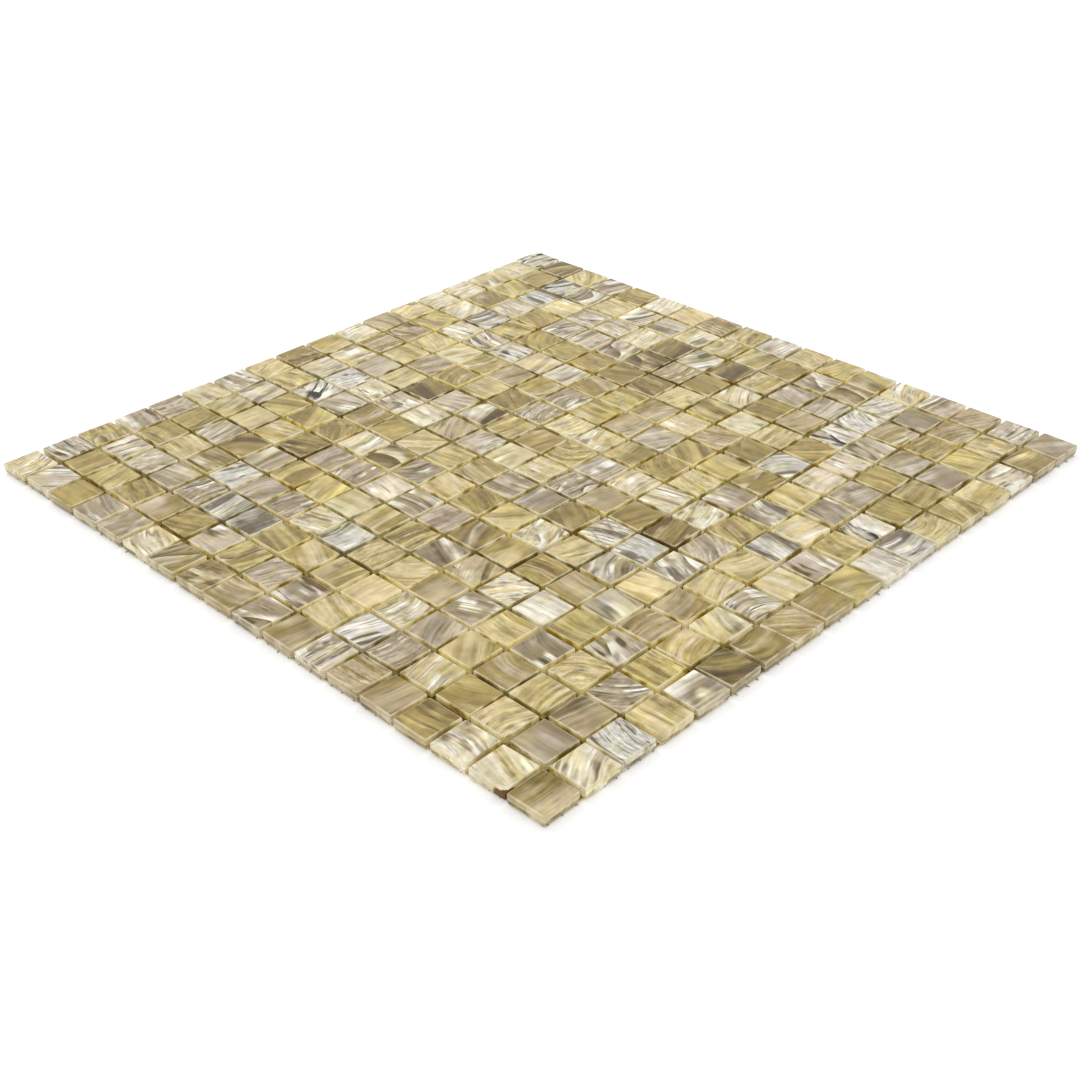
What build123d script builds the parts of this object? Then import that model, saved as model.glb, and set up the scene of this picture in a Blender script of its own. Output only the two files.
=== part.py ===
from build123d import *

import os
from math import atan, degrees

# Glass mosaic sheet: square pressed-glass tesserae glued, row by row, on an open glass-fibre mesh.
# Millimetres. The sheet lies face up: +Z is the show face, the underside of the mesh is Z = 0,
# and the origin is the middle of the underside. Rows run along X and are counted from -Y.

# Layout of the sheet
ROWS = 18
TESSERAE_PER_ROW = 18
TESSERA_SIDE = 15.0
JOINT_WIDTH = 1.5

# Section of a tessera, from its back to its face: a taper, an upright land and a broken top edge
BACK_TAPER_HEIGHT = 1.9
BACK_TAPER_INSET = 0.3
LAND_HEIGHT = 1.6
TOP_EDGE_BREAK = 0.5

# Backing mesh: flat yarns laid in two layers, the weft on the warp
YARN_PITCH = 5.5
YARN_WIDTH = 0.9
YARN_FLAT_WIDTH = 0.5
YARN_THICKNESS = 0.25
YARN_END_OVERHANG = 1.2

# Damage: one tessera of the second row, at the -X edge, has lost its front corner
CHIPPED_ROW = 2
CHIP_LEG = 2.8
CHIP_LEAN = 46.0

# Sizes that follow from those above
TESSERA_PITCH = TESSERA_SIDE + JOINT_WIDTH
SHEET_LENGTH = TESSERAE_PER_ROW * TESSERA_PITCH - JOINT_WIDTH
SHEET_WIDTH = ROWS * TESSERA_PITCH - JOINT_WIDTH
BACK_SIDE = TESSERA_SIDE - 2 * BACK_TAPER_INSET
BACK_TAPER_ANGLE = degrees(atan(BACK_TAPER_INSET / BACK_TAPER_HEIGHT))
WEFT_LEVEL = YARN_THICKNESS
BED_LEVEL = WEFT_LEVEL + YARN_THICKNESS
FACE_LEVEL = BED_LEVEL + BACK_TAPER_HEIGHT + LAND_HEIGHT + TOP_EDGE_BREAK

os.makedirs("parts", exist_ok=True)


def write_part(piece, name):
    """Label a finished piece and write it as parts/name.step."""
    piece.part.label = name
    export_step(piece.part, f"parts/{name}.step")


def yarn_count(span):
    """Yarns that fit side by side under a span, one pitch apart and none past its edges."""
    return int((span - YARN_WIDTH) // YARN_PITCH) + 1


def draw_yarn_sections(count):
    """Sections of parallel yarns, flat above and below and pointed at both sides."""
    with GridLocations(YARN_PITCH, YARN_PITCH, count, 1):
        Polygon(
            (-YARN_WIDTH / 2, YARN_THICKNESS / 2),
            (-YARN_FLAT_WIDTH / 2, 0),
            (YARN_FLAT_WIDTH / 2, 0),
            (YARN_WIDTH / 2, YARN_THICKNESS / 2),
            (YARN_FLAT_WIDTH / 2, YARN_THICKNESS),
            (-YARN_FLAT_WIDTH / 2, YARN_THICKNESS),
            align=None,
        )


# Warp yarns of the mesh: along X, on the underside
warp_length = SHEET_LENGTH + 2 * YARN_END_OVERHANG
with BuildPart() as warp_yarns:
    with BuildSketch(Plane.YZ.offset(-warp_length / 2)):
        draw_yarn_sections(yarn_count(SHEET_WIDTH))
    extrude(amount=warp_length)
write_part(warp_yarns, "mesh_warp_yarns")

# Weft yarns of the mesh: along Y, lying on the warp
weft_length = SHEET_WIDTH + 2 * YARN_END_OVERHANG
weft_start = Plane(origin=(0, weft_length / 2, WEFT_LEVEL), x_dir=(1, 0, 0), z_dir=(0, -1, 0))
with BuildPart() as weft_yarns:
    with BuildSketch(weft_start):
        draw_yarn_sections(yarn_count(SHEET_LENGTH))
    extrude(amount=weft_length)
write_part(weft_yarns, "mesh_weft_yarns")

# One tessera, standing on its back at the origin
with BuildPart() as tessera:
    with BuildSketch():
        Rectangle(BACK_SIDE, BACK_SIDE)
    extrude(amount=BACK_TAPER_HEIGHT, taper=-BACK_TAPER_ANGLE)
    with BuildSketch(Plane.XY.offset(BACK_TAPER_HEIGHT)):
        Rectangle(TESSERA_SIDE, TESSERA_SIDE)
    extrude(amount=LAND_HEIGHT + TOP_EDGE_BREAK)
    chamfer(tessera.faces().sort_by(Axis.Z)[-1].edges(), length=TOP_EDGE_BREAK)

# Plane of the lost corner: it leans outwards as it goes down, so the back keeps its corner
chip_corner = (-SHEET_LENGTH / 2 + CHIP_LEG, -SHEET_WIDTH / 2 + (CHIPPED_ROW - 1) * TESSERA_PITCH)
chip_plane = Plane(
    origin=(*chip_corner, FACE_LEVEL),
    x_dir=(1, -1, 0),
    z_dir=Vector(-1, -1, 0).normalized().rotate(Axis((0, 0, 0), (-1, 1, 0)), CHIP_LEAN),
)

# Rows of tesserae, on the weft
for row in range(1, ROWS + 1):
    row_y = (row - (ROWS + 1) / 2) * TESSERA_PITCH
    with BuildPart() as tessera_row:
        with Locations((0, row_y, BED_LEVEL)):
            with GridLocations(TESSERA_PITCH, TESSERA_PITCH, TESSERAE_PER_ROW, 1):
                add(tessera.part)
        if row == CHIPPED_ROW:
            split(bisect_by=chip_plane, keep=Keep.BOTTOM)
    write_part(tessera_row, f"tessera_row_{row:02d}")

print("sheet", SHEET_LENGTH, "x", SHEET_WIDTH, "mm, face at", FACE_LEVEL, "mm")
print("yarns", yarn_count(SHEET_WIDTH), "warp and", yarn_count(SHEET_LENGTH), "weft")
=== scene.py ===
# %% [markdown]
# # A sheet of streaked glass mosaic
# The real object is a square sheet of small pressed-glass tiles, called tesserae, glued on an open mesh.
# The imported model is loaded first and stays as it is. It fixes where each row of tesserae lies, and every
# surface made below takes its place and size from it.

# %% Load the frame
import math
from collections import namedtuple
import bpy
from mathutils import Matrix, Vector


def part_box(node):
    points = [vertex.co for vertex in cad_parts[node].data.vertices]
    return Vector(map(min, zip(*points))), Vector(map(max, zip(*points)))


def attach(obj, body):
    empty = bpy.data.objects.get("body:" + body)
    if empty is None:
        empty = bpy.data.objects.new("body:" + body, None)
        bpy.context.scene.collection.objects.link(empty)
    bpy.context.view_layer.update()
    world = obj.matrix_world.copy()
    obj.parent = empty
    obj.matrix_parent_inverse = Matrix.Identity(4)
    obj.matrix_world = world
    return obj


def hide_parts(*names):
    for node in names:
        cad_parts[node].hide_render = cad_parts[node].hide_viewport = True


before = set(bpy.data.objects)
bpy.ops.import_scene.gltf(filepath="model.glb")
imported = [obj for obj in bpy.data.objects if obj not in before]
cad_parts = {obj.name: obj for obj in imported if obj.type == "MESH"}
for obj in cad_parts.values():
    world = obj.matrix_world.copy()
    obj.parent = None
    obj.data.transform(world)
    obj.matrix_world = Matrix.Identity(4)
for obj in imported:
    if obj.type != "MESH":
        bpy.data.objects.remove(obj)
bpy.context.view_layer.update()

from types import SimpleNamespace

import bmesh
import bpy
import numpy as np
from mathutils import Matrix

MM = 0.001
ROW_NAMES = sorted(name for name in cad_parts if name.startswith("tessera_row_"))
TESSERAE_PER_ROW = 18
row_low, row_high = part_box(ROW_NAMES[0])
SIDE = row_high.y - row_low.y
HALF = SIDE / 2
BED = row_low.z
FACE = row_high.z
PITCH = (row_high.x - row_low.x - SIDE) / (TESSERAE_PER_ROW - 1)
print("rows", len(ROW_NAMES), "side", round(SIDE / MM, 2), "pitch", round(PITCH / MM, 2), "mm")

# %% [markdown]
# ## The surface of one tessera
# A pressed tessera has a hollow back, sides that spread to an upright land, and a fire-polished top edge.
# A beveled cube would come near it, but its side profile couldn't be set. Here the surface is two lids
# and a belt: each lid is a small grid of lines, and the belt carries the rim of the back lid up the side
# profile to the rim of the face lid. All three share their rims, so the surface is closed. The shape is
# repeated 324 times, so it has only a few dozen faces, and a line close to each edge keeps the face flat
# when shaded.

# %% Lines and side profile of a tessera
CORNER_RADIUS = 0.35 * MM
LEAST_RADIUS = 0.15 * MM
EDGE_RADIUS = 0.5 * MM
BACK_INSET = 0.3 * MM
TAPER_HEIGHT = 1.9 * MM
LAND_FOOT = BED + TAPER_HEIGHT
HOLLOW_DEPTH = 0.35 * MM
FACE_LINES = np.array([-1, -0.95, 0.95, 1])
BACK_LINES = np.array([-1, -0.70, 0.70, 1])
edge_turn = np.radians([0, 45, 90])

# Stations of the side profile, from the rim of the back to the rim of the face: half side and height
profile_half = np.concatenate([
    [HALF - BACK_INSET, HALF],
    HALF - EDGE_RADIUS + EDGE_RADIUS * np.cos(edge_turn),
])
profile_height = np.concatenate([
    [BED, LAND_FOOT],
    FACE - EDGE_RADIUS + EDGE_RADIUS * np.sin(edge_turn),
])
print("lines", len(FACE_LINES), "each way and", len(profile_half), "profile stations")


# %% Rounded square, rim and faces
TINY = 1e-12


def rounded_square(across, along, half):
    """Square of that half side with rounded corners, from lines that run from -1 to 1.

    A point keeps its place inside the core, which is the square less the corner radius. What sticks out
    past the core is shortened by its longer part over its length, and so a corner becomes a quarter disc.
    """
    radius = max(CORNER_RADIUS - (HALF - half), LEAST_RADIUS)
    x = across * half
    y = along * half
    core = half - radius
    core_x = np.clip(x, -core, core)
    core_y = np.clip(y, -core, core)
    out_x = x - core_x
    out_y = y - core_y
    length = np.maximum(np.hypot(out_x, out_y), TINY)
    shorten = np.maximum(np.abs(out_x), np.abs(out_y)) / length
    shorten = np.where((out_x != 0) & (out_y != 0), shorten, 1.0)
    return core_x + out_x * shorten, core_y + out_y * shorten


def rim(grid):
    """Values round the edge of a grid, anticlockwise from its first corner."""
    return np.concatenate([grid[0, :-1], grid[:-1, -1], grid[-1, :0:-1], grid[:0:-1, 0]])


def grid_faces(index, closed=False):
    """Four-cornered faces between neighbours of an index grid, closed round its second axis if asked."""
    if closed:
        index = np.concatenate([index, index[:, :1]], axis=1)
    return np.stack([index[:-1, :-1], index[:-1, 1:], index[1:, 1:], index[1:, :-1]], axis=-1).reshape(-1, 4)


face_across, face_along = np.meshgrid(FACE_LINES, FACE_LINES)
back_across, back_along = np.meshgrid(BACK_LINES, BACK_LINES)
back_index = np.arange(back_across.size).reshape(back_across.shape)
face_index = back_index + back_across.size
rim_size = rim(back_index).size
inner_stations = len(profile_half) - 2
ring_index = 2 * back_across.size + np.arange(inner_stations * rim_size).reshape(inner_stations, rim_size)
belt_index = np.vstack([rim(back_index), ring_index, rim(face_index)])
unit_faces = np.concatenate([
    grid_faces(back_index)[:, ::-1],
    grid_faces(face_index),
    grid_faces(belt_index, closed=True),
])
print("faces of a tessera", len(unit_faces))


# %% Points of one tessera
def tessera_points():
    """Points of a tessera centred on Z: back lid, face lid, then each inner ring of the belt.

    The back rises by the depth of its hollow at all points inside its rim.
    """
    back = rounded_square(back_across, back_along, profile_half[0])
    face = rounded_square(face_across, face_along, profile_half[-1])
    rings = [rounded_square(rim(face_across), rim(face_along), half) for half in profile_half[1:-1]]
    inside = np.maximum(np.abs(back_across), np.abs(back_along)) < 1
    x = np.concatenate([back[0].ravel(), face[0].ravel(), *[ring[0] for ring in rings]])
    y = np.concatenate([back[1].ravel(), face[1].ravel(), *[ring[1] for ring in rings]])
    z = np.concatenate([
        np.where(inside, BED + HOLLOW_DEPTH, BED).ravel(),
        np.full(face_across.size, FACE),
        np.repeat(profile_height[1:-1], rim_size),
    ])
    return np.stack([x, y, z], axis=-1)


unit_points = tessera_points()
height_share = np.clip((unit_points[:, 2] - BED) / (FACE - BED), 0, 1)
top_share = np.clip((unit_points[:, 2] - LAND_FOOT) / (FACE - LAND_FOOT), 0, 1)
print("points of a tessera", len(unit_points))

# %% [markdown]
# ## Laid by hand, pressed hot
# No tessera lies quite square and no face is quite flat. Each one gets its own small shift, turn, tilt
# and swell, all drawn from one seeded generator, so every run gives the same sheet.

# %% Chance of each tessera
SEED = 324
rng = np.random.default_rng(SEED)
SHEET = (len(ROW_NAMES), TESSERAE_PER_ROW)
SHIFT_SPREAD = 0.2 * MM
TURN_SPREAD = math.radians(0.8)
TILT_SPREAD = math.radians(0.35)
SIZE_SPREAD = 0.008
SWELL_HEIGHT = 0.045 * MM
SWELL_WAVES = 3
SWELL_LENGTH = 1.3 * SIDE
MOST_SPREADS = 2.0


def spread(size, *shape):
    """Seeded normal draws of that spread, cut off at a few spreads."""
    return size * np.clip(rng.standard_normal(shape), -MOST_SPREADS, MOST_SPREADS)


shift = spread(SHIFT_SPREAD, *SHEET, 2)
turn = spread(TURN_SPREAD, *SHEET)
tilt = spread(TILT_SPREAD, *SHEET, 2)
stretch = 1 + spread(SIZE_SPREAD, *SHEET, 2)
swell_wave = spread(1 / SWELL_LENGTH, *SHEET, SWELL_WAVES, 2)
swell_phase = rng.uniform(0, 2 * math.pi, (*SHEET, SWELL_WAVES))
print("largest turn", round(math.degrees(np.abs(turn).max()), 2), "degrees")


def laid_points(row):
    """Points of all tesserae of a row, as one array: tessera, point, coordinate.

    The unit tessera is stretched, its face is tilted and swollen by a sum of cosines, and it is then
    turned about its middle and moved to its place in the grid.
    """
    local = np.repeat(unit_points[None], TESSERAE_PER_ROW, axis=0)
    local[..., :2] *= stretch[row][:, None]
    plan = local[..., :2]
    angle = 2 * math.pi * np.einsum("tpc,twc->tpw", plan, swell_wave[row]) + swell_phase[row][:, None]
    local[..., 2] += top_share * SWELL_HEIGHT * np.cos(angle).mean(-1)
    local[..., 2] += height_share * np.einsum("tpc,tc->tp", plan, tilt[row])
    cosine = np.cos(turn[row])[:, None]
    sine = np.sin(turn[row])[:, None]
    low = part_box(ROW_NAMES[row])[0]
    column_x = low.x + HALF + PITCH * np.arange(TESSERAE_PER_ROW)
    x = plan[..., 0] * cosine - plan[..., 1] * sine + (column_x + shift[row, :, 0])[:, None]
    y = plan[..., 0] * sine + plan[..., 1] * cosine + (low.y + HALF + shift[row, :, 1])[:, None]
    return np.stack([x, y, local[..., 2]], axis=-1)


# %% [markdown]
# ## Glass batches
# The sheet mixes glass from several melts. A batch names the colours of its ground, of the wide ribbons
# pulled through it, of its pale wisps and dark lines, and of its flanks in the golden light of the
# joints. It also says how much ribbon, wisp and line there is. Which tessera comes from which batch is
# left to chance, as when a sheet is filled from a mixed box. Colours are written as a screen shows them
# and turned to linear light.

# %% Colours of the melts
def linear(red, green, blue):
    """Screen colour from 0 to 255, as linear light: a straight foot, then a curve of power 2.4."""
    shown = np.array([red, green, blue]) / 255
    return np.where(shown <= 0.04045, shown / 12.92, ((shown + 0.055) / 1.055) ** 2.4)


MELT = {
    "milk": linear(247, 243, 229),
    "pearl": linear(226, 219, 202),
    "ivory": linear(226, 215, 184),
    "straw": linear(215, 197, 148),
    "oat": linear(209, 196, 170),
    "honey": linear(202, 184, 119),
    "ash": linear(193, 178, 155),
    "hazel": linear(187, 169, 133),
    "bronze": linear(180, 160, 97),
    "drab": linear(162, 146, 118),
    "umber": linear(156, 135, 80),
    "slate": linear(122, 110, 92),
    "bark": linear(104, 85, 48),
    "ice": linear(212, 208, 198),
    "ink": linear(48, 42, 32),
}
print("melts", len(MELT))

# %% Batches of the sheet
Batch = namedtuple("Batch", "share ground ribbon wisp line flank ribbon_share wisp_strength line_strength")
BATCHES = {
    "straw": Batch(0.17, "straw", "bronze", "ivory", "umber", linear(226, 213, 140), 0.45, 0.70, 0.80),
    "oat": Batch(0.15, "oat", "drab", "milk", "slate", linear(224, 213, 152), 0.50, 1.40, 1.10),
    "ash": Batch(0.14, "ash", "drab", "milk", "bark", linear(212, 197, 132), 0.50, 1.30, 1.00),
    "ivory": Batch(0.12, "ivory", "straw", "milk", "drab", linear(238, 229, 172), 0.45, 1.40, 1.00),
    "hazel": Batch(0.12, "hazel", "umber", "ivory", "bark", linear(210, 192, 112), 0.45, 0.70, 0.80),
    "honey": Batch(0.12, "honey", "umber", "ivory", "bark", linear(222, 206, 116), 0.45, 0.60, 0.60),
    "bronze": Batch(0.09, "bronze", "umber", "straw", "bark", linear(198, 178, 94), 0.40, 0.60, 0.80),
    "umber": Batch(0.05, "umber", "bark", "straw", "ink", linear(174, 151, 64), 0.35, 0.70, 0.60),
    "shell": Batch(0.03, "pearl", "ash", "milk", "ink", linear(224, 215, 172), 0.35, 1.20, 1.20),
    "ice": Batch(0.04, "ice", "slate", "milk", "slate", linear(214, 206, 164), 0.45, 1.40, 1.00),
}
batch_rows = list(BATCHES.values())
batch_share = np.array([batch.share for batch in batch_rows])
batch_of = rng.choice(len(batch_rows), SHEET, p=batch_share / batch_share.sum())


def of_batches(values):
    """Value of each tessera's batch, from one value for each batch."""
    return np.array(values)[batch_of]


ground = of_batches([MELT[batch.ground] for batch in batch_rows])
ribbon = of_batches([MELT[batch.ribbon] for batch in batch_rows])
wisp = of_batches([MELT[batch.wisp] for batch in batch_rows])
line = of_batches([MELT[batch.line] for batch in batch_rows])
flank = of_batches([batch.flank for batch in batch_rows])
figure = of_batches([(batch.ribbon_share, batch.wisp_strength, batch.line_strength) for batch in batch_rows])
print("tesserae of each batch", dict(zip(BATCHES, np.bincount(batch_of.ravel()).tolist())))

# %% Chance within a batch
FLANK_SPREAD = 0.40
MOST_FLANK = 1.2
# Share of painted shade on the taper of each tessera
TAPER_SHADE_RANGE = (0.2, 1.0)
SHADE = 1.03
SHADE_SPREAD = 0.05
FIGURE_RANGE = (0.3, 1.5)
CREASED_SHARE = 0.45
flank = flank * np.minimum(np.exp(spread(FLANK_SPREAD, *SHEET, 1)), MOST_FLANK)
taper_shade_share = rng.uniform(*TAPER_SHADE_RANGE, (*SHEET, 1))
shade = SHADE * np.exp(spread(SHADE_SPREAD, *SHEET, 1))
ground = ground * shade
ribbon = ribbon * shade
figure = figure * rng.uniform(*FIGURE_RANGE, (*SHEET, 3))
figure[..., 2] *= rng.random(SHEET) < CREASED_SHARE
print("creased tesserae", int((figure[..., 2] > 0).sum()))

# %% Direction, bend and swirl of the streaks
ANGLE_SPREAD = math.radians(13)
LAID_ACROSS_SHARE = 0.45
ASKEW_SHARE = 0.22
START_RANGE = 400
FLOW_SCALE = 0.9
FLOW_SCALE_SPREAD = 0.35
BEND_SPREAD = 0.013
SWIRL_SPREAD = 0.5
flow_angle = spread(ANGLE_SPREAD, *SHEET)
flow_angle = flow_angle + np.where(rng.random(SHEET) < LAID_ACROSS_SHARE, math.pi / 2, 0.0)
flow_angle = np.where(rng.random(SHEET) < ASKEW_SHARE, rng.uniform(0, math.pi, SHEET), flow_angle)
flow_start = rng.uniform(0, START_RANGE, (*SHEET, 3))
flow_scale = FLOW_SCALE * np.exp(spread(FLOW_SCALE_SPREAD, *SHEET))
bend = spread(BEND_SPREAD, *SHEET)
swirl = np.exp(spread(SWIRL_SPREAD, *SHEET))

# A few tesserae have black veins, and some have a brown smudge
VEINED_SHARE = 0.03
SMUDGED_SHARE = 0.12
SMUDGE_STRENGTH = 0.85
veined = rng.random(SHEET) < VEINED_SHARE
line = np.where(veined[..., None], MELT["ink"], line)
smudge = np.where(rng.random(SHEET) < SMUDGED_SHARE, SMUDGE_STRENGTH, 0.0)
print("veined tesserae", int(veined.sum()), "smudged", int((smudge > 0).sum()))


def streak_coordinates(points, row):
    """Place of each point in its tessera's own flow, in millimetres: along the streaks, across them, deep."""
    middle = points.mean(axis=1, keepdims=True)
    plan = (points - middle) / MM * flow_scale[row][:, None, None]
    cosine = np.cos(flow_angle[row])[:, None]
    sine = np.sin(flow_angle[row])[:, None]
    along = plan[..., 0] * cosine + plan[..., 1] * sine
    across = plan[..., 1] * cosine - plan[..., 0] * sine
    return np.stack([along, across, plan[..., 2]], axis=-1)


# %% [markdown]
# ## Rows of tesserae
# A row is one mesh of separate closed shells, put in by whole arrays. What the glass shader needs to know
# of each tessera rides along as attributes of its points. 324 objects would be slow to make and to
# export, and one piece for each row also fits the nodes of the frame.

# %% Mesh from arrays
def mesh_piece(name, points, faces):
    """New object of that name, from arrays of points and faces, with its place in its mesh."""
    mesh = bpy.data.meshes.new(name)
    mesh.vertices.add(len(points))
    mesh.vertices.foreach_set("co", points.astype(np.float32).ravel())
    mesh.loops.add(faces.size)
    mesh.loops.foreach_set("vertex_index", faces.astype(np.int32).ravel())
    mesh.polygons.add(len(faces))
    mesh.polygons.foreach_set("loop_start", np.arange(0, faces.size, faces.shape[1], dtype=np.int32))
    mesh.update(calc_edges=True)
    mesh.validate()
    piece = bpy.data.objects.new(name, mesh)
    bpy.context.scene.collection.objects.link(piece)
    return piece


def give_points(piece, name, values):
    """Attribute of that name on the points of a piece: one number, a vector or a colour for each."""
    width = 1 if values.ndim == 1 else values.shape[1]
    kind = {1: "FLOAT", 3: "FLOAT_VECTOR", 4: "FLOAT_COLOR"}[width]
    field = {1: "value", 3: "vector", 4: "color"}[width]
    attribute = piece.data.attributes.new(name, kind, "POINT")
    attribute.data.foreach_set(field, values.astype(np.float32).ravel())


def for_each_point(values):
    """Values of each tessera of a row, repeated for all its points."""
    return np.repeat(values, len(unit_points), axis=0)


# %% Masks that tell the shader where on a tessera a point is
EDGE_SIDE_SHARE = 0.6
SHEET_HALF = (row_high.x - row_low.x) / 2
OPEN_MARGIN = 1.2 * MM
is_side = np.zeros(len(unit_points))
is_side[belt_index[:-1]] = 1.0
is_side[belt_index[-2]] = EDGE_SIDE_SHARE
is_edge = np.zeros(len(unit_points))
is_edge[belt_index[-2]] = 1.0
shell_mask = np.stack([is_side, is_edge, height_share], axis=-1)
print("points of the side", int((is_side > 0).sum()), "and of the edge", int(is_edge.sum()))


# %% Build the rows
def build_row(row):
    """One row of tesserae that stands for its node of the frame, with the attributes of its glass."""
    points = laid_points(row)
    offsets = np.arange(TESSERAE_PER_ROW)[:, None, None] * len(unit_points)
    faces = (unit_faces[None] + offsets).reshape(-1, 4)
    piece = mesh_piece(ROW_NAMES[row] + "_glass", points.reshape(-1, 3), faces)
    give_points(piece, "flow", streak_coordinates(points, row).reshape(-1, 3))
    give_points(piece, "flow_start", for_each_point(flow_start[row]))
    give_points(piece, "ground", for_each_point(ground[row]))
    give_points(piece, "ribbon", for_each_point(ribbon[row]))
    give_points(piece, "wisp", for_each_point(wisp[row]))
    give_points(piece, "line", for_each_point(line[row]))
    # The alpha of the flank attribute carries each tessera's share of painted taper shade
    give_points(piece, "flank", for_each_point(np.concatenate([flank[row], taper_shade_share[row]], axis=-1)))
    give_points(piece, "figure", for_each_point(figure[row]))
    give_points(piece, "turns", for_each_point(np.stack([bend[row], swirl[row], smudge[row]], axis=-1)))
    give_points(piece, "shell", np.tile(shell_mask, (TESSERAE_PER_ROW, 1)))
    reach = np.abs(points[..., :2]).max(axis=-1).ravel()
    give_points(piece, "open_side", (reach > SHEET_HALF - OPEN_MARGIN).astype(float))
    return piece


glass_rows = [build_row(row) for row in range(len(ROW_NAMES))]
print("glass rows", len(glass_rows), "faces in each", len(glass_rows[0].data.polygons))

# %% [markdown]
# ## The knocked corner
# One tessera at the edge has lost a corner. The same plane that cuts it in the frame cuts it here, and
# the hole is filled with one face, as glass breaks clean. A Boolean could cut it too, but a cut by a
# plane needs no second object and keeps the attributes of the points.

# %% Knock off the corner
CHIPPED_ROW = 1
CHIP_LEG = 2.8 * MM
CHIP_LEAN = math.radians(46)
SHARP_ANGLE = math.radians(50)
PLANE_NEARNESS = 0.001 * MM


def knock_off(piece, place, normal):
    """Cut away what lies past a plane and close the cut with a face."""
    work = bmesh.new()
    work.from_mesh(piece.data)
    everything = work.verts[:] + work.edges[:] + work.faces[:]
    cut = bmesh.ops.bisect_plane(work, geom=everything, plane_co=place, plane_no=normal, clear_outer=True)
    open_edges = [part for part in cut["geom_cut"] if isinstance(part, bmesh.types.BMEdge)]
    bmesh.ops.holes_fill(work, edges=open_edges)
    work.to_mesh(piece.data)
    work.free()


def mark_broken(piece, place, normal):
    """Attribute on the faces: 1 on those in the plane of the break, which are flat, and 0 on the others."""
    count = len(piece.data.polygons)
    centres = np.empty(3 * count)
    piece.data.polygons.foreach_get("center", centres)
    in_plane = np.abs((centres.reshape(-1, 3) - place) @ np.array(normal)) < PLANE_NEARNESS
    broken = piece.data.attributes.new("broken", "FLOAT", "FACE")
    broken.data.foreach_set("value", in_plane.astype(np.float32))
    piece.data.polygons.foreach_set("use_smooth", ~in_plane)
    return int(in_plane.sum())


chip_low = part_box(ROW_NAMES[CHIPPED_ROW])[0]
chip_place = (chip_low.x + CHIP_LEG, chip_low.y, FACE)
chip_out = math.cos(CHIP_LEAN) / math.sqrt(2)
chip_normal = (-chip_out, -chip_out, math.sin(CHIP_LEAN))
knock_off(glass_rows[CHIPPED_ROW], chip_place, chip_normal)
for piece in glass_rows:
    piece.data.polygons.foreach_set("use_smooth", np.ones(len(piece.data.polygons), dtype=bool))
    piece.data.set_sharp_from_angle(angle=SHARP_ANGLE)
broken_faces = mark_broken(glass_rows[CHIPPED_ROW], chip_place, chip_normal)
print("corner knocked off in row", CHIPPED_ROW + 1, "broken faces", broken_faces)

# %% [markdown]
# ## The backing mesh
# The mesh is woven from flat glass-fibre yarns. Each yarn is a flat oval section carried along a line
# that rises over one crossing yarn and dips under the next. The cut ends at the edges of the sheet are
# uneven. Curves with a bevel would need a spline for each yarn. Arrays give all yarns of one way at once.

# %% Yarns of the mesh
YARN_WIDTH = 0.8 * MM
YARN_THICKNESS = 0.22 * MM
YARN_PITCH = 5.5 * MM
SECTION_SIDES = 6

# The end of a six-sided section is closed by two faces
END_CAP = np.array([[0, 1, 2, 3], [0, 3, 4, 5]])
STEPS_PER_PITCH = 2
OVERHANG = 1.2 * MM
END_MIDDLE = -0.4 * MM
END_WAVE = 1.0 * MM
END_WAVE_LENGTH = 120 * MM
END_SPREAD = 0.45 * MM
END_RANGE = (-0.3 * MM, OVERHANG)
END_SPLAY = 0.35 * MM
END_NARROWED = 0.6
MESH_MIDDLE = BED / 2
WEAVE_HEIGHT = (BED - YARN_THICKNESS) / 2


def cut_ends(places):
    """How far the yarns stick out past the sheet: a slow wave along the edge, with a little chance."""
    wave = spread(1 / END_WAVE_LENGTH, 2)
    phase = rng.uniform(0, 2 * math.pi, 2)
    slow = np.cos(2 * math.pi * places[:, None] * wave + phase).mean(-1)
    return np.clip(END_MIDDLE + END_WAVE * slow + spread(END_SPREAD, len(places)), *END_RANGE)


def yarn_points(length, places, crossing_places):
    """Points of parallel yarns along the first axis: yarn, station, section point, coordinate.

    The middle line is a cosine over the crossing pitch, turned over from yarn to yarn. The section is an
    oval of the yarn's width and thickness, narrower at both ends.
    """
    count = len(places)
    steps = (len(crossing_places) - 1) * STEPS_PER_PITCH
    stations = np.linspace(crossing_places[0], crossing_places[-1], steps + 1)
    ends = length / 2 - OVERHANG + np.stack([cut_ends(places), cut_ends(places)], axis=1)
    run = np.repeat(stations[None], count, axis=0)
    run = np.concatenate([-ends[:, :1], run, ends[:, 1:]], axis=1)
    phase = math.pi * (run - crossing_places[0]) / YARN_PITCH + math.pi * np.arange(count)[:, None]
    height = MESH_MIDDLE + WEAVE_HEIGHT * np.cos(phase)
    height[:, [0, -1]] = YARN_THICKNESS / 2
    side = np.repeat(places[:, None], run.shape[1], axis=1)
    side[:, [0, -1]] += spread(END_SPLAY, count, 2)
    turn_round = np.linspace(0, 2 * math.pi, SECTION_SIDES, endpoint=False)
    width = np.full(run.shape, YARN_WIDTH / 2)
    width[:, [0, -1]] *= END_NARROWED
    x = np.repeat(run[..., None], SECTION_SIDES, axis=2)
    y = side[..., None] + width[..., None] * np.cos(turn_round)
    z = height[..., None] + YARN_THICKNESS / 2 * np.sin(turn_round)
    return np.stack([x, y, z], axis=-1)


def yarn_faces(count, stations):
    """Faces of the yarns' tubes, as index grids closed round the section and at both ends."""
    tube = np.arange(stations * SECTION_SIDES).reshape(stations, SECTION_SIDES)
    caps = np.concatenate([tube[0][END_CAP][:, ::-1], tube[-1][END_CAP]])
    unit = np.concatenate([grid_faces(tube, closed=True), caps])
    offsets = np.arange(count)[:, None, None] * tube.size
    return (unit[None] + offsets).reshape(-1, 4)


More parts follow.
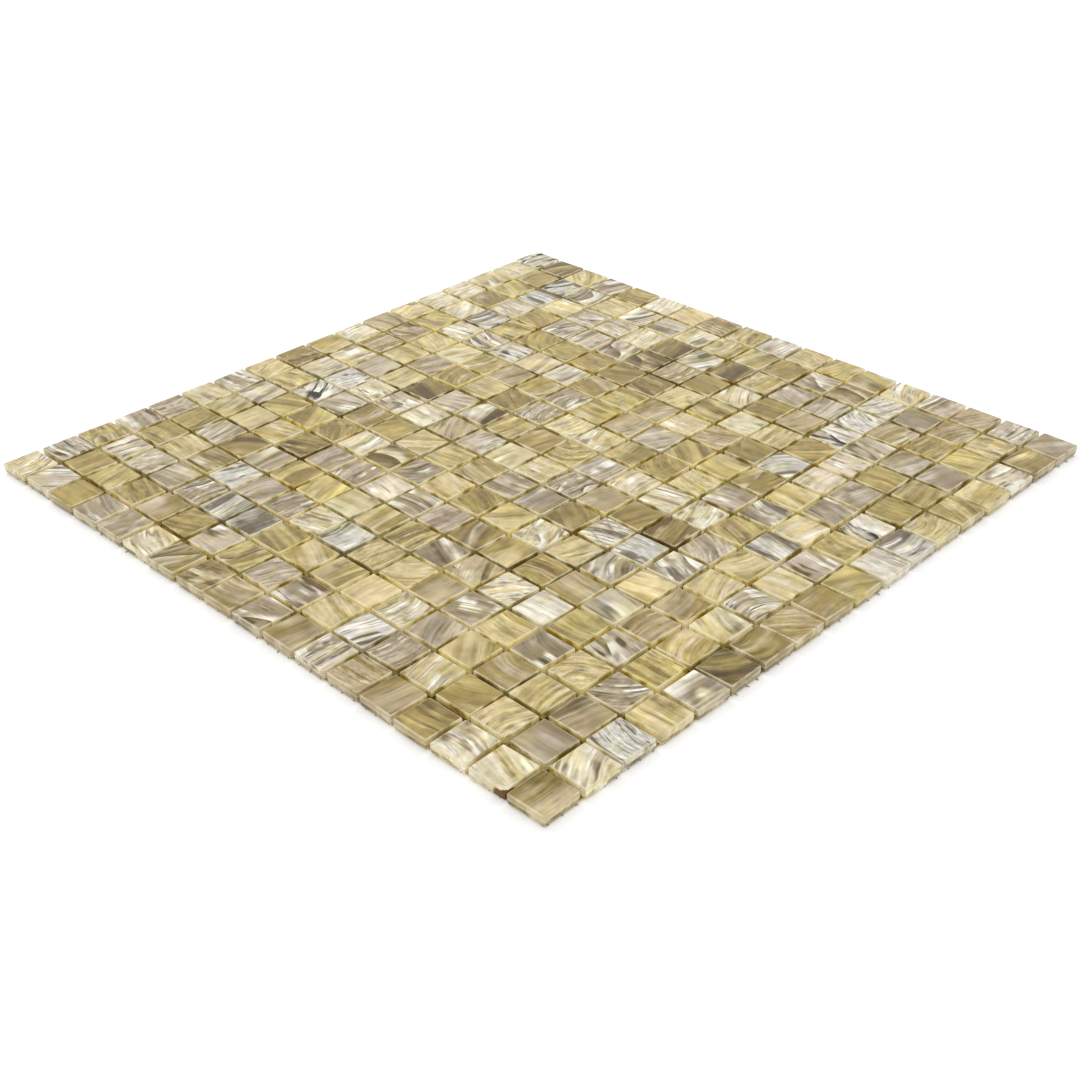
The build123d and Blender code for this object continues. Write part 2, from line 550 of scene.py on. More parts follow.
def build_yarns(node, along_x):
    """Yarns that stand for a node of the mesh, along X or along Y."""
    low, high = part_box(node)
    length = (high.x - low.x) if along_x else (high.y - low.y)
    reach = (high.y - low.y) if along_x else (high.x - low.x)
    count = round(reach / YARN_PITCH) + 1
    places = (np.arange(count) - (count - 1) / 2) * YARN_PITCH
    # The sheet is square, so the crossing yarns lie at the same places
    points = yarn_points(length, places, places)
    faces = yarn_faces(count, points.shape[1])
    if not along_x:
        points = points[..., [1, 0, 2]]
        points[..., 2] = 2 * MESH_MIDDLE - points[..., 2]
    piece = mesh_piece(node + "_woven", points.reshape(-1, 3), faces)
    piece.data.polygons.foreach_set("use_smooth", np.ones(len(piece.data.polygons), dtype=bool))
    return piece


warp = build_yarns("mesh_warp_yarns", along_x=True)
weft = build_yarns("mesh_weft_yarns", along_x=False)
print("yarn faces", len(warp.data.polygons), len(weft.data.polygons))

# %% [markdown]
# ## Streaked glass
# Streaked glass is stirred while it is soft, drawn out and pressed, so its figure follows lines of flow.
# A picture laid over the sheet would repeat. Here a noise is squeezed across the flow of each tessera and
# drawn out along it, which gives bands and streaks, and each tessera reads it at a place of its own.
# Short helpers for shader nodes come first, so that the steps after them read as sums.

# %% Helpers for nodes and sockets
def new_material(name):
    """Empty node material, its tree and its Principled shader."""
    material = bpy.data.materials.new(name)
    material.use_nodes = True
    tree = material.node_tree
    return material, tree, tree.nodes["Principled BSDF"]


def feed(tree, socket, value):
    """Link an output to a socket, or set the socket to a plain value."""
    if isinstance(value, bpy.types.NodeSocket):
        tree.links.new(value, socket)
    else:
        socket.default_value = value


def read(tree, name, output="Vector"):
    """Output of an attribute of the piece."""
    node = tree.nodes.new("ShaderNodeAttribute")
    node.attribute_name = name
    return node.outputs[output]


def own_place(tree):
    """Object coordinates of the point, in metres."""
    return tree.nodes.new("ShaderNodeTexCoord").outputs["Object"]


def parts_of(tree, vector):
    """The three outputs of Separate XYZ."""
    node = tree.nodes.new("ShaderNodeSeparateXYZ")
    feed(tree, node.inputs[0], vector)
    return node.outputs[:3]


def vector_of(tree, x, y, z):
    """Output of Combine XYZ."""
    node = tree.nodes.new("ShaderNodeCombineXYZ")
    for socket, value in zip(node.inputs, (x, y, z)):
        feed(tree, socket, value)
    return node.outputs[0]


# %% Helpers for sums
def sums(tree, operation, first, second=0.0, third=0.0, clamp=False):
    """Output of a Math node."""
    node = tree.nodes.new("ShaderNodeMath")
    node.operation = operation
    node.use_clamp = clamp
    for socket, value in zip(node.inputs, (first, second, third)):
        feed(tree, socket, value)
    return node.outputs[0]


def product(tree, *factors, clamp=False):
    """All factors multiplied, and held between 0 and 1 if asked."""
    result = factors[0]
    for factor in factors[1:-1]:
        result = sums(tree, "MULTIPLY", result, factor)
    return sums(tree, "MULTIPLY", result, factors[-1], clamp=clamp)


def swing(tree, value, depth=1.0):
    """A noise from 0 to 1, made to swing about 0 and multiplied by a depth."""
    return sums(tree, "MULTIPLY_ADD", value, depth, -0.5 * depth)


def vector_sums(tree, operation, first, second=(0, 0, 0)):
    """Output of a Vector Math node."""
    node = tree.nodes.new("ShaderNodeVectorMath")
    node.operation = operation
    feed(tree, node.inputs[0], first)
    if operation == "SCALE":
        feed(tree, node.inputs["Scale"], second)
    else:
        feed(tree, node.inputs[1], second)
    return node.outputs[0]


def length_of(tree, vector):
    """Length of a vector, from a Vector Math node."""
    node = tree.nodes.new("ShaderNodeVectorMath")
    node.operation = "LENGTH"
    feed(tree, node.inputs[0], vector)
    return node.outputs["Value"]


# %% Helpers for colour, noise and ramps
def blend(tree, share, first, second, how="MIX"):
    """Output of a colour Mix node."""
    node = tree.nodes.new("ShaderNodeMix")
    node.data_type = "RGBA"
    node.blend_type = how
    feed(tree, node.inputs[0], share)
    feed(tree, node.inputs[6], first)
    feed(tree, node.inputs[7], second)
    return node.outputs[2]


def tinted(tree, share, colour, tint):
    """A colour multiplied by a tint, by that share."""
    return blend(tree, share, colour, blend(tree, 1.0, colour, tint, "MULTIPLY"))


def noise(tree, place, rate, detail=2.0, roughness=0.5):
    """Output of a Noise Texture read at a place."""
    node = tree.nodes.new("ShaderNodeTexNoise")
    feed(tree, node.inputs["Vector"], place)
    node.inputs["Scale"].default_value = rate
    node.inputs["Detail"].default_value = detail
    node.inputs["Roughness"].default_value = roughness
    return node.outputs["Fac"]


def ease(tree, value, low, high):
    """Smooth step from 0 at low to 1 at high."""
    node = tree.nodes.new("ShaderNodeMapRange")
    node.interpolation_type = "SMOOTHSTEP"
    feed(tree, node.inputs["Value"], value)
    feed(tree, node.inputs["From Min"], low)
    feed(tree, node.inputs["From Max"], high)
    return node.outputs[0]


def hairline(tree, value, level, width):
    """1 where a value passes a level, falling to 0 a width away from it."""
    away = sums(tree, "ABSOLUTE", sums(tree, "SUBTRACT", value, level))
    return sums(tree, "SUBTRACT", 1.0, ease(tree, away, 0.0, width))


# %% [markdown]
# ## The flow of the melt
# Each figure of the glass needs a noise of its own, which is the same noise read far away. The flow is
# bowed by the square of the way along it, and a slow and a quick noise push it sideways into swirls.
# Where the melt folded over itself, a saw-tooth runs across the flow. Rates are waves in a millimetre of
# the flow.

# %% Figures of the glass
FIGURES = [
    "bands", "wisps", "wispy", "lined", "strands", "clouds", "mottling",
    "grain", "gilding", "smudges", "unrest", "blush", "threads", "grained",
]
FIGURE_STEP = np.array([37.0, 11.0, 5.0])
DEEP_SHARE = 0.6


def figure_noise(tree, place, figure, rate, detail, roughness=0.5):
    """Noise of one figure, read at a place that is moved far off by the figure's number."""
    far = vector_sums(tree, "ADD", place, tuple(FIGURE_STEP * FIGURES.index(figure)))
    return noise(tree, far, rate, detail, roughness)


def drawn_out(tree, melt, stretch):
    """A place in the swirled flow whose way along is shortened, so that a noise read there is drawn out."""
    short = product(tree, melt.along, stretch)
    shallow = product(tree, melt.deep, DEEP_SHARE)
    return vector_sums(tree, "ADD", vector_of(tree, short, melt.swirled, shallow), melt.start)


def soft_patches(tree, melt, figure, rate, rise, detail=1.0):
    """1 in soft patches of a figure's noise over the flow and 0 between them, easing over the rise."""
    return ease(tree, figure_noise(tree, melt.flow, figure, rate, detail), *rise)


print("figures of the glass", len(FIGURES))

# %% What the shader knows of a point
# Waves in a metre, because the blotches are read in the place of the object and not in the flow
BLOTCH_RATE = 170.0


def read_melt(tree):
    """What the shader knows of a point, under plain names: its tessera's flow and figure, and its place."""
    melt = SimpleNamespace()
    melt.along, melt.across, melt.deep = parts_of(tree, read(tree, "flow"))
    melt.start = read(tree, "flow_start")
    melt.ribbon_share, melt.wisp_strength, melt.line_strength = parts_of(tree, read(tree, "figure"))
    melt.bend, melt.swirl, melt.smudge = parts_of(tree, read(tree, "turns"))
    melt.side, melt.edge, melt.height = parts_of(tree, read(tree, "shell"))
    melt.wisp = read(tree, "wisp", "Color")
    melt.line = read(tree, "line", "Color")
    melt.place = own_place(tree)
    melt.blotches = noise(tree, melt.place, BLOTCH_RATE, detail=3.0)
    return melt


# %% Stir the melt
SLOW_RATE = 0.05
SLOW_PUSH = 4.0
QUICK_RATE = 0.30
QUICK_PUSH = 0.5
FOLD_RATE = 0.06
UNREST_RATE = 0.05
UNREST = 1.5
WISPY_RATE = 0.15
WISPY_RISE = (0.40, 0.62)
LINED_RATE = 0.16
LINED_RISE = (0.38, 0.60)


def stir(tree, melt):
    """Bow the flow, swirl it and fold it, and find the patches where wisps and lines are strong.

    Across the flow: the bend times the square of the way along, plus a slow and a quick noise. A fold is
    the fraction of the way across, times a rate, plus a noise that makes the folds uneven.
    """
    bow = product(tree, melt.bend, product(tree, melt.along, melt.along))
    across = sums(tree, "ADD", melt.across, bow)
    melt.flow = vector_sums(tree, "ADD", vector_of(tree, melt.along, across, melt.deep), melt.start)
    slow = swing(tree, noise(tree, melt.flow, SLOW_RATE, detail=1.0))
    quick = swing(tree, noise(tree, melt.flow, QUICK_RATE, detail=1.0))
    across = sums(tree, "MULTIPLY_ADD", slow, product(tree, melt.swirl, SLOW_PUSH), across)
    unrest = figure_noise(tree, melt.flow, "unrest", UNREST_RATE, detail=0.0)
    uneven = sums(tree, "MULTIPLY_ADD", unrest, UNREST, product(tree, across, FOLD_RATE))
    melt.fold = sums(tree, "FRACT", uneven)
    melt.swirled = sums(tree, "MULTIPLY_ADD", quick, QUICK_PUSH, across)
    melt.wispy = soft_patches(tree, melt, "wispy", WISPY_RATE, WISPY_RISE)
    melt.lined = soft_patches(tree, melt, "lined", LINED_RATE, LINED_RISE)


# %% [markdown]
# ## Bands, wisps and lines
# Three figures lie over each other in the real glass: broad soft bands, feathery pale wisps and dark
# lines. A fold has a pale slope before it and a dark crease after it, sharp on one side and soft on the
# other. One step adds one figure to the colour, so each can be looked at alone by leaving the next ones
# out.

# %% Bands and wisps
BAND_STRETCH = 0.03
BAND_RATE = 0.17
BAND_LEVEL = 0.36
BAND_LEVEL_RANGE = 0.28
BAND_SOFTNESS = 0.06
WISP_STRETCH = 0.05
WISP_RATE = 0.33
WISP_RISE = (0.46, 0.68)


def bands(tree, melt):
    """Ground colour with broad bands of ribbon colour, where a drawn-out noise stays under a level."""
    level = sums(tree, "MULTIPLY_ADD", melt.ribbon_share, BAND_LEVEL_RANGE, BAND_LEVEL)
    drawn = figure_noise(tree, drawn_out(tree, melt, BAND_STRETCH), "bands", BAND_RATE, detail=2.0)
    ribbons = ease(tree, sums(tree, "SUBTRACT", drawn, level), BAND_SOFTNESS, -BAND_SOFTNESS)
    return blend(tree, ribbons, read(tree, "ground", "Color"), read(tree, "ribbon", "Color"))


def add_wisps(tree, melt, colour):
    """Feathery pale wisps, in patches."""
    feathers = figure_noise(tree, drawn_out(tree, melt, WISP_STRETCH), "wisps", WISP_RATE, detail=3.0)
    share = product(tree, ease(tree, feathers, *WISP_RISE), melt.wispy, melt.wisp_strength, clamp=True)
    return blend(tree, share, colour, melt.wisp)


# %% Folds and lines
LIT_RISE = (0.65, 0.96)
LIT_END = (1.0, 0.99)
CREASE_FALL = (0.25, 0.0)
CREASE_START = (0.0, 0.01)
STRAND_STRETCH = 0.06
STRAND_RATE = 0.40
STRAND_RISE = (0.50, 0.70)
STRAND_STRENGTH = 0.62
THREAD_STRETCH = 0.05
THREAD_RATE = 0.28
THREAD_WIDTH = 0.030
THREAD_STRENGTH = 0.7


def add_lit_folds(tree, melt, colour):
    """Pale slopes that rise slowly to each fold of the melt and end there at once."""
    slope = product(tree, ease(tree, melt.fold, *LIT_RISE), ease(tree, melt.fold, *LIT_END))
    lit = product(tree, slope, melt.line_strength, melt.lined, clamp=True)
    return blend(tree, lit, colour, melt.wisp)


def add_lines(tree, melt, colour):
    """Dark creases after the folds, strands along the flow, and threads where a noise is at its middle."""
    slope = product(tree, ease(tree, melt.fold, *CREASE_FALL), ease(tree, melt.fold, *CREASE_START))
    crease = product(tree, slope, melt.line_strength)
    strength = product(tree, sums(tree, "ADD", melt.line_strength, melt.wisp_strength), STRAND_STRENGTH)
    strands = figure_noise(tree, drawn_out(tree, melt, STRAND_STRETCH), "strands", STRAND_RATE, detail=3.0)
    strands = product(tree, ease(tree, strands, *STRAND_RISE), strength)
    dark = product(tree, sums(tree, "MAXIMUM", strands, crease), melt.lined, clamp=True)
    ways = figure_noise(tree, drawn_out(tree, melt, THREAD_STRETCH), "threads", THREAD_RATE, detail=1.0)
    threads = product(tree, hairline(tree, ways, 0.5, THREAD_WIDTH), melt.wispy)
    threads = product(tree, threads, melt.wisp_strength, THREAD_STRENGTH, clamp=True)
    return blend(tree, sums(tree, "MAXIMUM", dark, threads), colour, melt.line)


# %% [markdown]
# ## Clouds and tints
# No patch of the glass is of one even colour. Clouds, mottling and a fine grain lighten and darken it,
# and thicker colour is also more golden, so what gets darker takes a golden tint. Some parts lean to
# green gold and some to rose, and a few tesserae have a brown smudge.

# %% Clouds and grain
DARK_TINT = (1.00, 0.96, 0.66, 1)
DARK_RATE = 1.5
CLOUD_RATE = 0.13
CLOUD_DEPTH = 1.0
MOTTLE_RATE = 0.45
MOTTLE_DEPTH = 0.6
GRAIN_STRETCH = 0.08
GRAIN_RATE = 0.7
GRAIN_ROUGHNESS = 0.6
GRAINED_RATE = 0.13
GRAINED_RISE = (0.42, 0.62)
GRAIN_LEAST = 0.7
GRAIN_MORE = 1.8


def add_clouds(tree, melt, colour):
    """Colour times 1 plus clouds, mottling and grain, with a golden tint where that sum is below 1."""
    clouds = swing(tree, figure_noise(tree, melt.flow, "clouds", CLOUD_RATE, detail=2.0), CLOUD_DEPTH)
    mottling = swing(tree, figure_noise(tree, melt.flow, "mottling", MOTTLE_RATE, detail=3.0), MOTTLE_DEPTH)
    strokes = drawn_out(tree, melt, GRAIN_STRETCH)
    grain = figure_noise(tree, strokes, "grain", GRAIN_RATE, detail=3.0, roughness=GRAIN_ROUGHNESS)
    grain = swing(tree, grain)
    grained = soft_patches(tree, melt, "grained", GRAINED_RATE, GRAINED_RISE)
    grain = product(tree, grain, sums(tree, "MULTIPLY_ADD", grained, GRAIN_MORE, GRAIN_LEAST))
    lightness = sums(tree, "ADD", sums(tree, "ADD", clouds, mottling), sums(tree, "ADD", grain, 1.0))
    colour = vector_sums(tree, "SCALE", colour, lightness)
    depth = product(tree, sums(tree, "SUBTRACT", 1.0, lightness), DARK_RATE, clamp=True)
    return tinted(tree, depth, colour, DARK_TINT)


# %% Tints and smudges
GILT_TINT = (1.00, 1.01, 0.74, 1)
GILT_RATE = 0.14
GILT_STRENGTH = 0.75
ROSE_TINT = (1.04, 0.98, 1.08, 1)
ROSE_RATE = 0.16
ROSE_STRENGTH = 0.7
TINT_RISE = (0.48, 0.70)
SMUDGE_COLOUR = (*linear(112, 86, 48), 1)
SMUDGE_RATE = 0.14
SMUDGE_RISE = (0.55, 0.78)


def add_tints(tree, melt, colour):
    """Green-gold and rosy tints in parts of the tessera, and brown smudges on some."""
    gilding = soft_patches(tree, melt, "gilding", GILT_RATE, TINT_RISE, detail=2.0)
    colour = tinted(tree, product(tree, gilding, GILT_STRENGTH), colour, GILT_TINT)
    blush = soft_patches(tree, melt, "blush", ROSE_RATE, TINT_RISE, detail=2.0)
    colour = tinted(tree, product(tree, blush, ROSE_STRENGTH), colour, ROSE_TINT)
    smudges = soft_patches(tree, melt, "smudges", SMUDGE_RATE, SMUDGE_RISE, detail=3.0)
    return blend(tree, product(tree, smudges, melt.smudge), colour, SMUDGE_COLOUR)


# %% [markdown]
# ## Sides and edges
# Light that enters the faces leaves by the sides, and in the joints it is golden and patchy. Tracing it
# through the glass would be slow and would be lost in an exported model, so that light is painted on the
# sides as colour, with a faint glow of their own. On the outer sides of the sheet the glass shows its own
# colour, a little lightened by painted highlight. The taper under the land is darkened in patches by
# painted shade, with a painted shadow line just under the land, and the polished edge and the foot of the
# land get painted highlights. Heights are shares of the thickness of the glass.

# %% Light of the sides
# Colour of the painted highlights: on the top edges, in the joints, on the outer sides and on the break
HIGHLIGHT_COLOUR = (*linear(246, 236, 208), 1)
# Tint for darker patches in the painted golden light of the joints
DEEP_TINT = (0.40, 0.31, 0.05, 1)
LIGHT_RISE = (0.34, 0.54)
PALE_RISE = (0.50, 0.66)
PALE_STRENGTH = 0.8
OWN_IN_GOLDEN = 0.10
# Share of painted highlight that lightens the outer sides of the sheet
RIM_IN_OWN = 0.20
OPEN_STRENGTH = 0.8


def light_sides(tree, melt, colour):
    """Sides in the golden light of the joints, or in the glass's own colour at the edges of the sheet."""
    flank = read(tree, "flank", "Color")
    # Darker and paler patches of the painted joint light; the pale ones take the highlight colour
    deep_flank = blend(tree, 1.0, flank, DEEP_TINT, "MULTIPLY")
    flank = blend(tree, ease(tree, melt.blotches, *LIGHT_RISE), deep_flank, flank)
    pale = product(tree, ease(tree, melt.blotches, *PALE_RISE), PALE_STRENGTH)
    golden = blend(tree, OWN_IN_GOLDEN, blend(tree, pale, flank, HIGHLIGHT_COLOUR), colour)
    # Outer sides of the sheet: the glass's own colour, lightened by painted highlight
    own = blend(tree, RIM_IN_OWN, colour, HIGHLIGHT_COLOUR)
    open_share = product(tree, read(tree, "open_side", "Fac"), OPEN_STRENGTH)
    return blend(tree, melt.side, colour, blend(tree, open_share, golden, own))


# %% Taper, land and edge
# Painted shade: a darker tint on the lower taper, and a painted shadow line just under the land
TAPER_SHADE_TINT = (0.30, 0.24, 0.08, 1)
TAPER_FALL = (0.50, 0.34)
TAPER_SHADE_FALL = (0.66, 0.40)
UNDER_LAND_SHADOW = (*linear(96, 80, 30), 1)
UNDER_LAND_LEVEL = 0.38
UNDER_LAND_WIDTH = 0.06
UNDER_LAND_FALL = (0.60, 0.40)
UNDER_LAND_STRENGTH = 0.8
# Painted highlights: a line at the foot of the land, and the polished top edge
LAND_LINE_LEVEL = 0.47
LAND_LINE_WIDTH = 0.05
LAND_LINE_STRENGTH = 0.55
RIM_RISE = (0.25, 0.60)
RIM_STRENGTH = 0.8


def shade_taper(tree, melt, colour):
    """Painted shade in patches on the taper, more on some tesserae, and a painted shadow under the land."""
    low = ease(tree, melt.height, *TAPER_FALL)
    taper_shade = product(tree, low, ease(tree, melt.blotches, *TAPER_SHADE_FALL), melt.side, read(tree, "flank", "Alpha"))
    colour = tinted(tree, taper_shade, colour, TAPER_SHADE_TINT)
    under_land_shadow = hairline(tree, melt.height, UNDER_LAND_LEVEL, UNDER_LAND_WIDTH)
    gaps = ease(tree, melt.blotches, *UNDER_LAND_FALL)
    return blend(tree, product(tree, under_land_shadow, gaps, UNDER_LAND_STRENGTH), colour, UNDER_LAND_SHADOW)


def highlight_edges(tree, melt, colour):
    """Painted highlights on the polished top edge and in a line at the foot of the land."""
    rim_light = product(tree, melt.edge, ease(tree, melt.blotches, *RIM_RISE), RIM_STRENGTH)
    land_highlight = hairline(tree, melt.height, LAND_LINE_LEVEL, LAND_LINE_WIDTH)
    pale = sums(tree, "MAXIMUM", rim_light, product(tree, land_highlight, LAND_LINE_STRENGTH))
    return blend(tree, pale, colour, HIGHLIGHT_COLOUR)


# %% [markdown]
# ## Colour of the break
# The break has a painted highlight just under the face and is dark amber below: the amber of the glass,
# deepened by painted shade. The sides next to it are darkened the same way. This dark amber is read from
# the distance to the lost corner, so it needs no map, and it stops short of the next tessera.

# %% Dark amber and painted shade of the broken corner
# Dark amber of the glass, deepened by painted shade
BREAK_COLOUR = (*linear(106, 72, 8), 1)
BREAK_RISE = (0.76, 0.84)
BREAK_SHADE_FALL = (5.4 * MM, 4.2 * MM)
BREAK_SHADE_TOP_FALL = (0.82, 0.72)
CHIPPED_RISE = (chip_low.y - 0.6 * MM, chip_low.y - 0.4 * MM)


def amber_and_shade_break(tree, melt, colour):
    """Painted shade on amber glass near the lost corner, and a painted highlight at the top of the break."""
    from_corner = length_of(tree, vector_sums(tree, "SUBTRACT", melt.place, chip_low))
    near = product(tree, ease(tree, from_corner, *BREAK_SHADE_FALL), ease(tree, melt.height, *BREAK_SHADE_TOP_FALL))
    on_chipped = ease(tree, parts_of(tree, melt.place)[1], *CHIPPED_RISE)
    colour = blend(tree, product(tree, near, on_chipped, melt.side), colour, BREAK_COLOUR)
    # The break rises from the dark amber to a painted highlight just under the face
    amber = blend(tree, ease(tree, melt.height, *BREAK_RISE), BREAK_COLOUR, HIGHLIGHT_COLOUR)
    return blend(tree, read(tree, "broken", "Fac"), colour, amber)


# %% [markdown]
# ## The finish of the glass
# A pressed face is shiny but not flat: a fine pebble from the mould breaks up its reflections. One noise
# drives both the roughness and the bump, so that they fit each other. What is the same all over, such as
# the index of refraction, is set on the shader itself.

# %% Polish of the face
# Waves in a metre
PEBBLE_RATE = 700.0
ROUGHNESS_LEAST = 0.08
ROUGHNESS_MORE = 0.20
PEBBLE_STRENGTH = 0.25
PEBBLE_HEIGHT = 0.1 * MM
GLASS_IOR = 1.52
GLASS_SPECULAR = 0.22


def polish(tree, melt, shader):
    """Gloss of glass over a fine pebble."""
    pebble = noise(tree, melt.place, PEBBLE_RATE, detail=2.0)
    roughness = sums(tree, "MULTIPLY_ADD", pebble, ROUGHNESS_MORE, ROUGHNESS_LEAST)
    feed(tree, shader.inputs["Roughness"], roughness)
    bump = tree.nodes.new("ShaderNodeBump")
    bump.inputs["Strength"].default_value = PEBBLE_STRENGTH
    bump.inputs["Distance"].default_value = PEBBLE_HEIGHT
    feed(tree, bump.inputs["Height"], pebble)
    feed(tree, shader.inputs["Normal"], bump.outputs[0])
    shader.inputs["IOR"].default_value = GLASS_IOR
    shader.inputs["Specular IOR Level"].default_value = GLASS_SPECULAR


# %% The glass, step by step
# Emission on the sides: a glow of painted light that stands in for light carried through the glass
SIDE_GLOW = 0.09
COLOUR_STEPS = [
    add_wisps, add_lit_folds, add_lines, add_clouds, add_tints,
    light_sides, shade_taper, highlight_edges, amber_and_shade_break,
]


def streaked_glass():
    """Glass with bands, wisps, folds and lines drawn out along each tessera's own flow."""
    material, tree, shader = new_material("streaked_glass")
    melt = read_melt(tree)
    stir(tree, melt)
    colour = bands(tree, melt)
    for step in COLOUR_STEPS:
        colour = step(tree, melt, colour)
    feed(tree, shader.inputs["Base Color"], colour)
    # The sides glow a little, as painted light
    feed(tree, shader.inputs["Emission Color"], colour)
    feed(tree, shader.inputs["Emission Strength"], product(tree, melt.side, SIDE_GLOW))
    polish(tree, melt, shader)
    return material


glass = streaked_glass()
for piece, node in zip(glass_rows, ROW_NAMES):
    piece.data.materials.append(glass)
    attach(piece, "root")
    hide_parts(node)
print("glass nodes", len(glass.node_tree.nodes))

# %% [markdown]
# ## Glass-fibre yarn
# The yarns are bundles of glass fibre in a dull coating. Their weave is in the surface already, so the
# finish only needs fibres: a fine noise between a darker and a paler greenish grey. Both greys are darker
# than the pale yarn, as painted shade of the shadow the yarns lie in.

# %% Finish of the yarns
# Both greys hold painted shade: the yarn itself is paler
YARN_SHADED_DARK = (*linear(104, 108, 88), 1)
YARN_SHADED_PALE = (*linear(166, 168, 146), 1)
YARN_ROUGHNESS = 0.7

# Waves in a metre
FIBRE_RATE = 2500.0


def fibre_yarn():
    """Greenish grey yarn with fine fibres, darkened by painted shade."""
    material, tree, shader = new_material("mesh_yarn")
    fibres = noise(tree, own_place(tree), FIBRE_RATE, detail=3.0)
    feed(tree, shader.inputs["Base Color"], blend(tree, fibres, YARN_SHADED_DARK, YARN_SHADED_PALE))
    shader.inputs["Roughness"].default_value = YARN_ROUGHNESS
    return material


yarn_finish = fibre_yarn()
for piece, node in ((warp, "mesh_warp_yarns"), (weft, "mesh_weft_yarns")):
    piece.data.materials.append(yarn_finish)
    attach(piece, "root")
    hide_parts(node)
print("yarn nodes", len(yarn_finish.node_tree.nodes))

# %% [markdown]
# ## Floor and sky
# The sheet lies on a plain white floor under a white sky. More light on the floor would also wash out the
# glass. So the floor glows a little instead, only to the rays of the camera, of mirrors and of clear
# glass, and the soft shadow of the sheet stays. Under the sheet the floor is golden, as the light that
# comes through the glass is, and from below it is plain.

# %% Floor
FLOOR_HALF = 3.0
FLOOR_GLOW = 0.26
FLOOR_WHITE = (0.9, 0.9, 0.9, 1)
WHITE = (1, 1, 1, 1)
UNDER_SHEET = (*linear(226, 186, 84), 1)
OPEN_RISE = (SHEET_HALF - 2 * MM, SHEET_HALF)
floor_points = FLOOR_HALF * np.array([[-1, -1, 0], [1, -1, 0], [1, 1, 0], [-1, 1, 0]], dtype=float)
floor = mesh_piece("floor", floor_points, np.array([[0, 1, 2, 3]]))


def looked_at(tree):
    """1 for the rays of the camera, of a mirror and of clear glass, and 0 for the rays that only light."""
    kinds = tree.nodes.new("ShaderNodeLightPath").outputs
    mirrored = sums(tree, "MAXIMUM", kinds["Is Glossy Ray"], kinds["Is Transmission Ray"])
    return sums(tree, "MAXIMUM", kinds["Is Camera Ray"], mirrored)


def white_floor():
    """White matte floor that glows a little when looked at, and is golden under the sheet."""
    material, tree, shader = new_material("floor_white")
    x, y = parts_of(tree, vector_sums(tree, "ABSOLUTE", own_place(tree)))[:2]
    open_floor = ease(tree, sums(tree, "MAXIMUM", x, y), *OPEN_RISE)
    from_below = tree.nodes.new("ShaderNodeNewGeometry").outputs["Backfacing"]
    open_floor = sums(tree, "MAXIMUM", open_floor, from_below)
    feed(tree, shader.inputs["Base Color"], blend(tree, open_floor, UNDER_SHEET, FLOOR_WHITE))
    shader.inputs["Roughness"].default_value = 1.0
    shader.inputs["Specular IOR Level"].default_value = 0.0
    shader.inputs["Emission Color"].default_value = WHITE
    feed(tree, shader.inputs["Emission Strength"], product(tree, looked_at(tree), open_floor, FLOOR_GLOW))
    return material


floor.data.materials.append(white_floor())
print("floor", 2 * FLOOR_HALF, "m across")

# %% Sky
SKY_LIGHT = 0.65


def studio_sky():
    """White sky: full to the rays that look at it, and softer as a light."""
    world = bpy.data.worlds.new("studio")
    world.use_nodes = True
    tree = world.node_tree
    sky = tree.nodes["Background"]
    sky.inputs["Color"].default_value = WHITE
    feed(tree, sky.inputs["Strength"], sums(tree, "MULTIPLY_ADD", looked_at(tree), 1 - SKY_LIGHT, SKY_LIGHT))
    return world


bpy.context.scene.world = studio_sky()
print("sky lights at", SKY_LIGHT)

# %% [markdown]
# ## Soft light
# Small lamps would put hard sparks on every tessera. Two soft boxes stand behind the sheet, left and
# right as the camera sees it, and a larger one in front fills the sides that face the camera.

# %% Lamps
def soft_box(name, place, size, power):
    """Square area lamp that faces the middle of the sheet: size in metres, power in watts."""
    lamp = bpy.data.lights.new(name, "AREA")
    lamp.size = size
    lamp.energy = power
    stand = bpy.data.objects.new(name, lamp)
    stand.location = place
    stand.rotation_mode = "QUATERNION"
    stand.rotation_quaternion = stand.location.to_track_quat("Z", "Y")
    bpy.context.scene.collection.objects.link(stand)


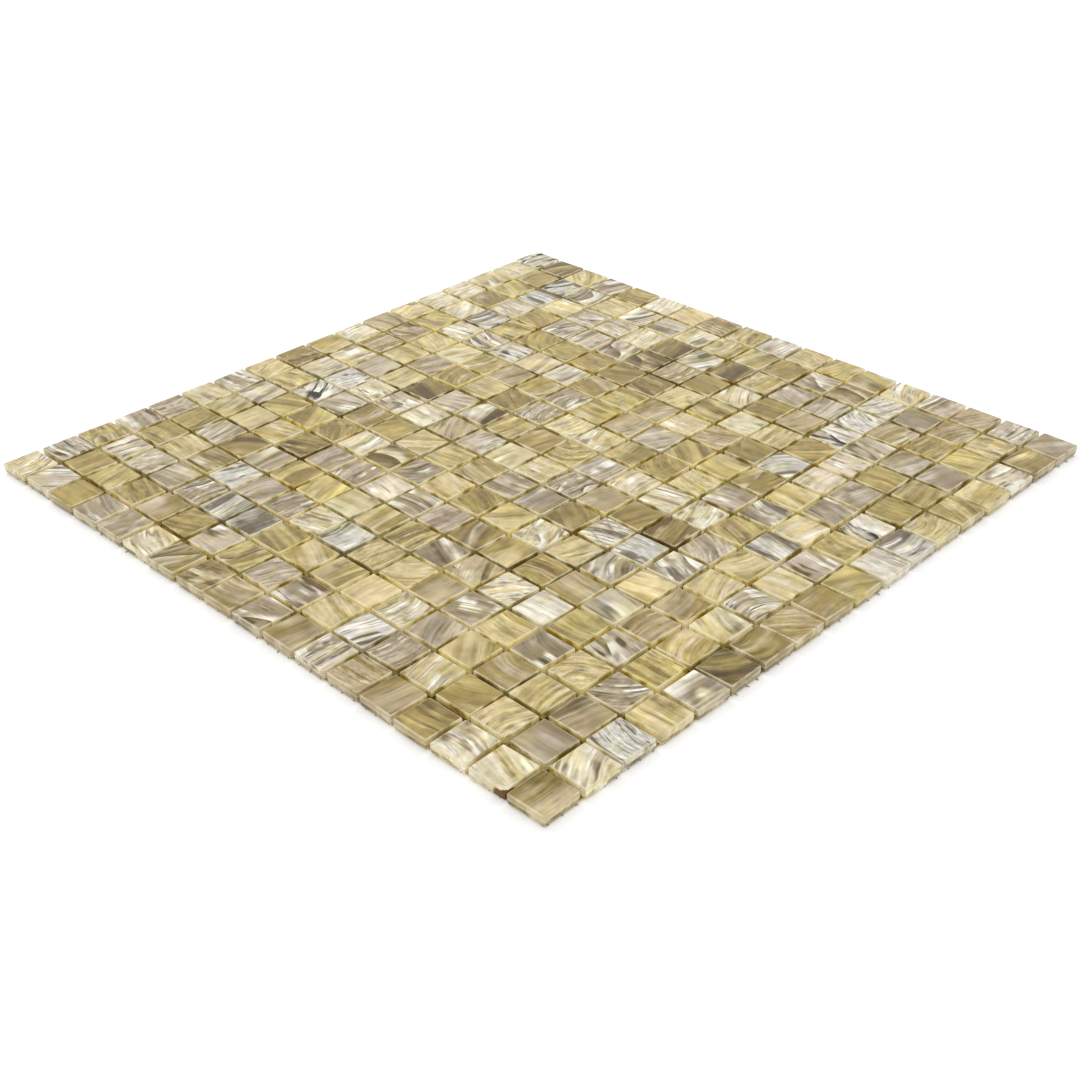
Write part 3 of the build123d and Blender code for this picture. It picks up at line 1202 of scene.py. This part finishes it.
soft_box("left_light", place=(0.0, 0.85, 1.1), size=0.5, power=3.5)
soft_box("right_light", place=(0.85, 0.0, 1.1), size=0.5, power=3.0)
soft_box("front_light", place=(-0.9, -0.9, 0.6), size=1.0, power=3.0)
print("lamps", len(bpy.data.lights))

# %% [markdown]
# ## Camera
# The camera stands where the photograph was taken from. Its angles, distance and lens were worked out
# from the four corners of the sheet. A Track To constraint could aim it but not roll it, so its place and
# turn are put in as one matrix.

# %% Place of the camera
CAMERA_AZIMUTH = math.radians(-44.811)
CAMERA_ELEVATION = math.radians(32.029)
CAMERA_ROLL = math.radians(-1.043)
CAMERA_TARGET = np.array([-39.976, -39.126, 0.0]) * MM
CAMERA_DISTANCE = 577.726 * MM
CAMERA_LENS = 53.31
SENSOR_WIDTH = 36.0
NEAREST_SEEN = 10 * MM


def camera_matrix():
    """Camera's place and turn: it looks at the target from its azimuth and elevation, then rolls."""
    backward = np.array([
        math.sin(CAMERA_AZIMUTH) * math.cos(CAMERA_ELEVATION),
        -math.cos(CAMERA_AZIMUTH) * math.cos(CAMERA_ELEVATION),
        math.sin(CAMERA_ELEVATION),
    ])
    right = np.array([math.cos(CAMERA_AZIMUTH), math.sin(CAMERA_AZIMUTH), 0.0])
    up = np.cross(backward, right)
    rolled_right = right * math.cos(CAMERA_ROLL) + up * math.sin(CAMERA_ROLL)
    rolled_up = up * math.cos(CAMERA_ROLL) - right * math.sin(CAMERA_ROLL)
    matrix = np.eye(4)
    matrix[:3, :3] = np.stack([rolled_right, rolled_up, backward], axis=1)
    matrix[:3, 3] = CAMERA_TARGET + CAMERA_DISTANCE * backward
    return matrix


lens = bpy.data.cameras.new("camera")
lens.lens = CAMERA_LENS
lens.sensor_width = SENSOR_WIDTH
lens.clip_start = NEAREST_SEEN
camera = bpy.data.objects.new("camera", lens)
bpy.context.scene.collection.objects.link(camera)
camera.matrix_world = Matrix(camera_matrix().tolist())
bpy.context.scene.camera = camera
bpy.context.scene.view_settings.view_transform = "Standard"
print("camera at", np.round(camera_matrix()[:3, 3], 3).tolist(), "m")
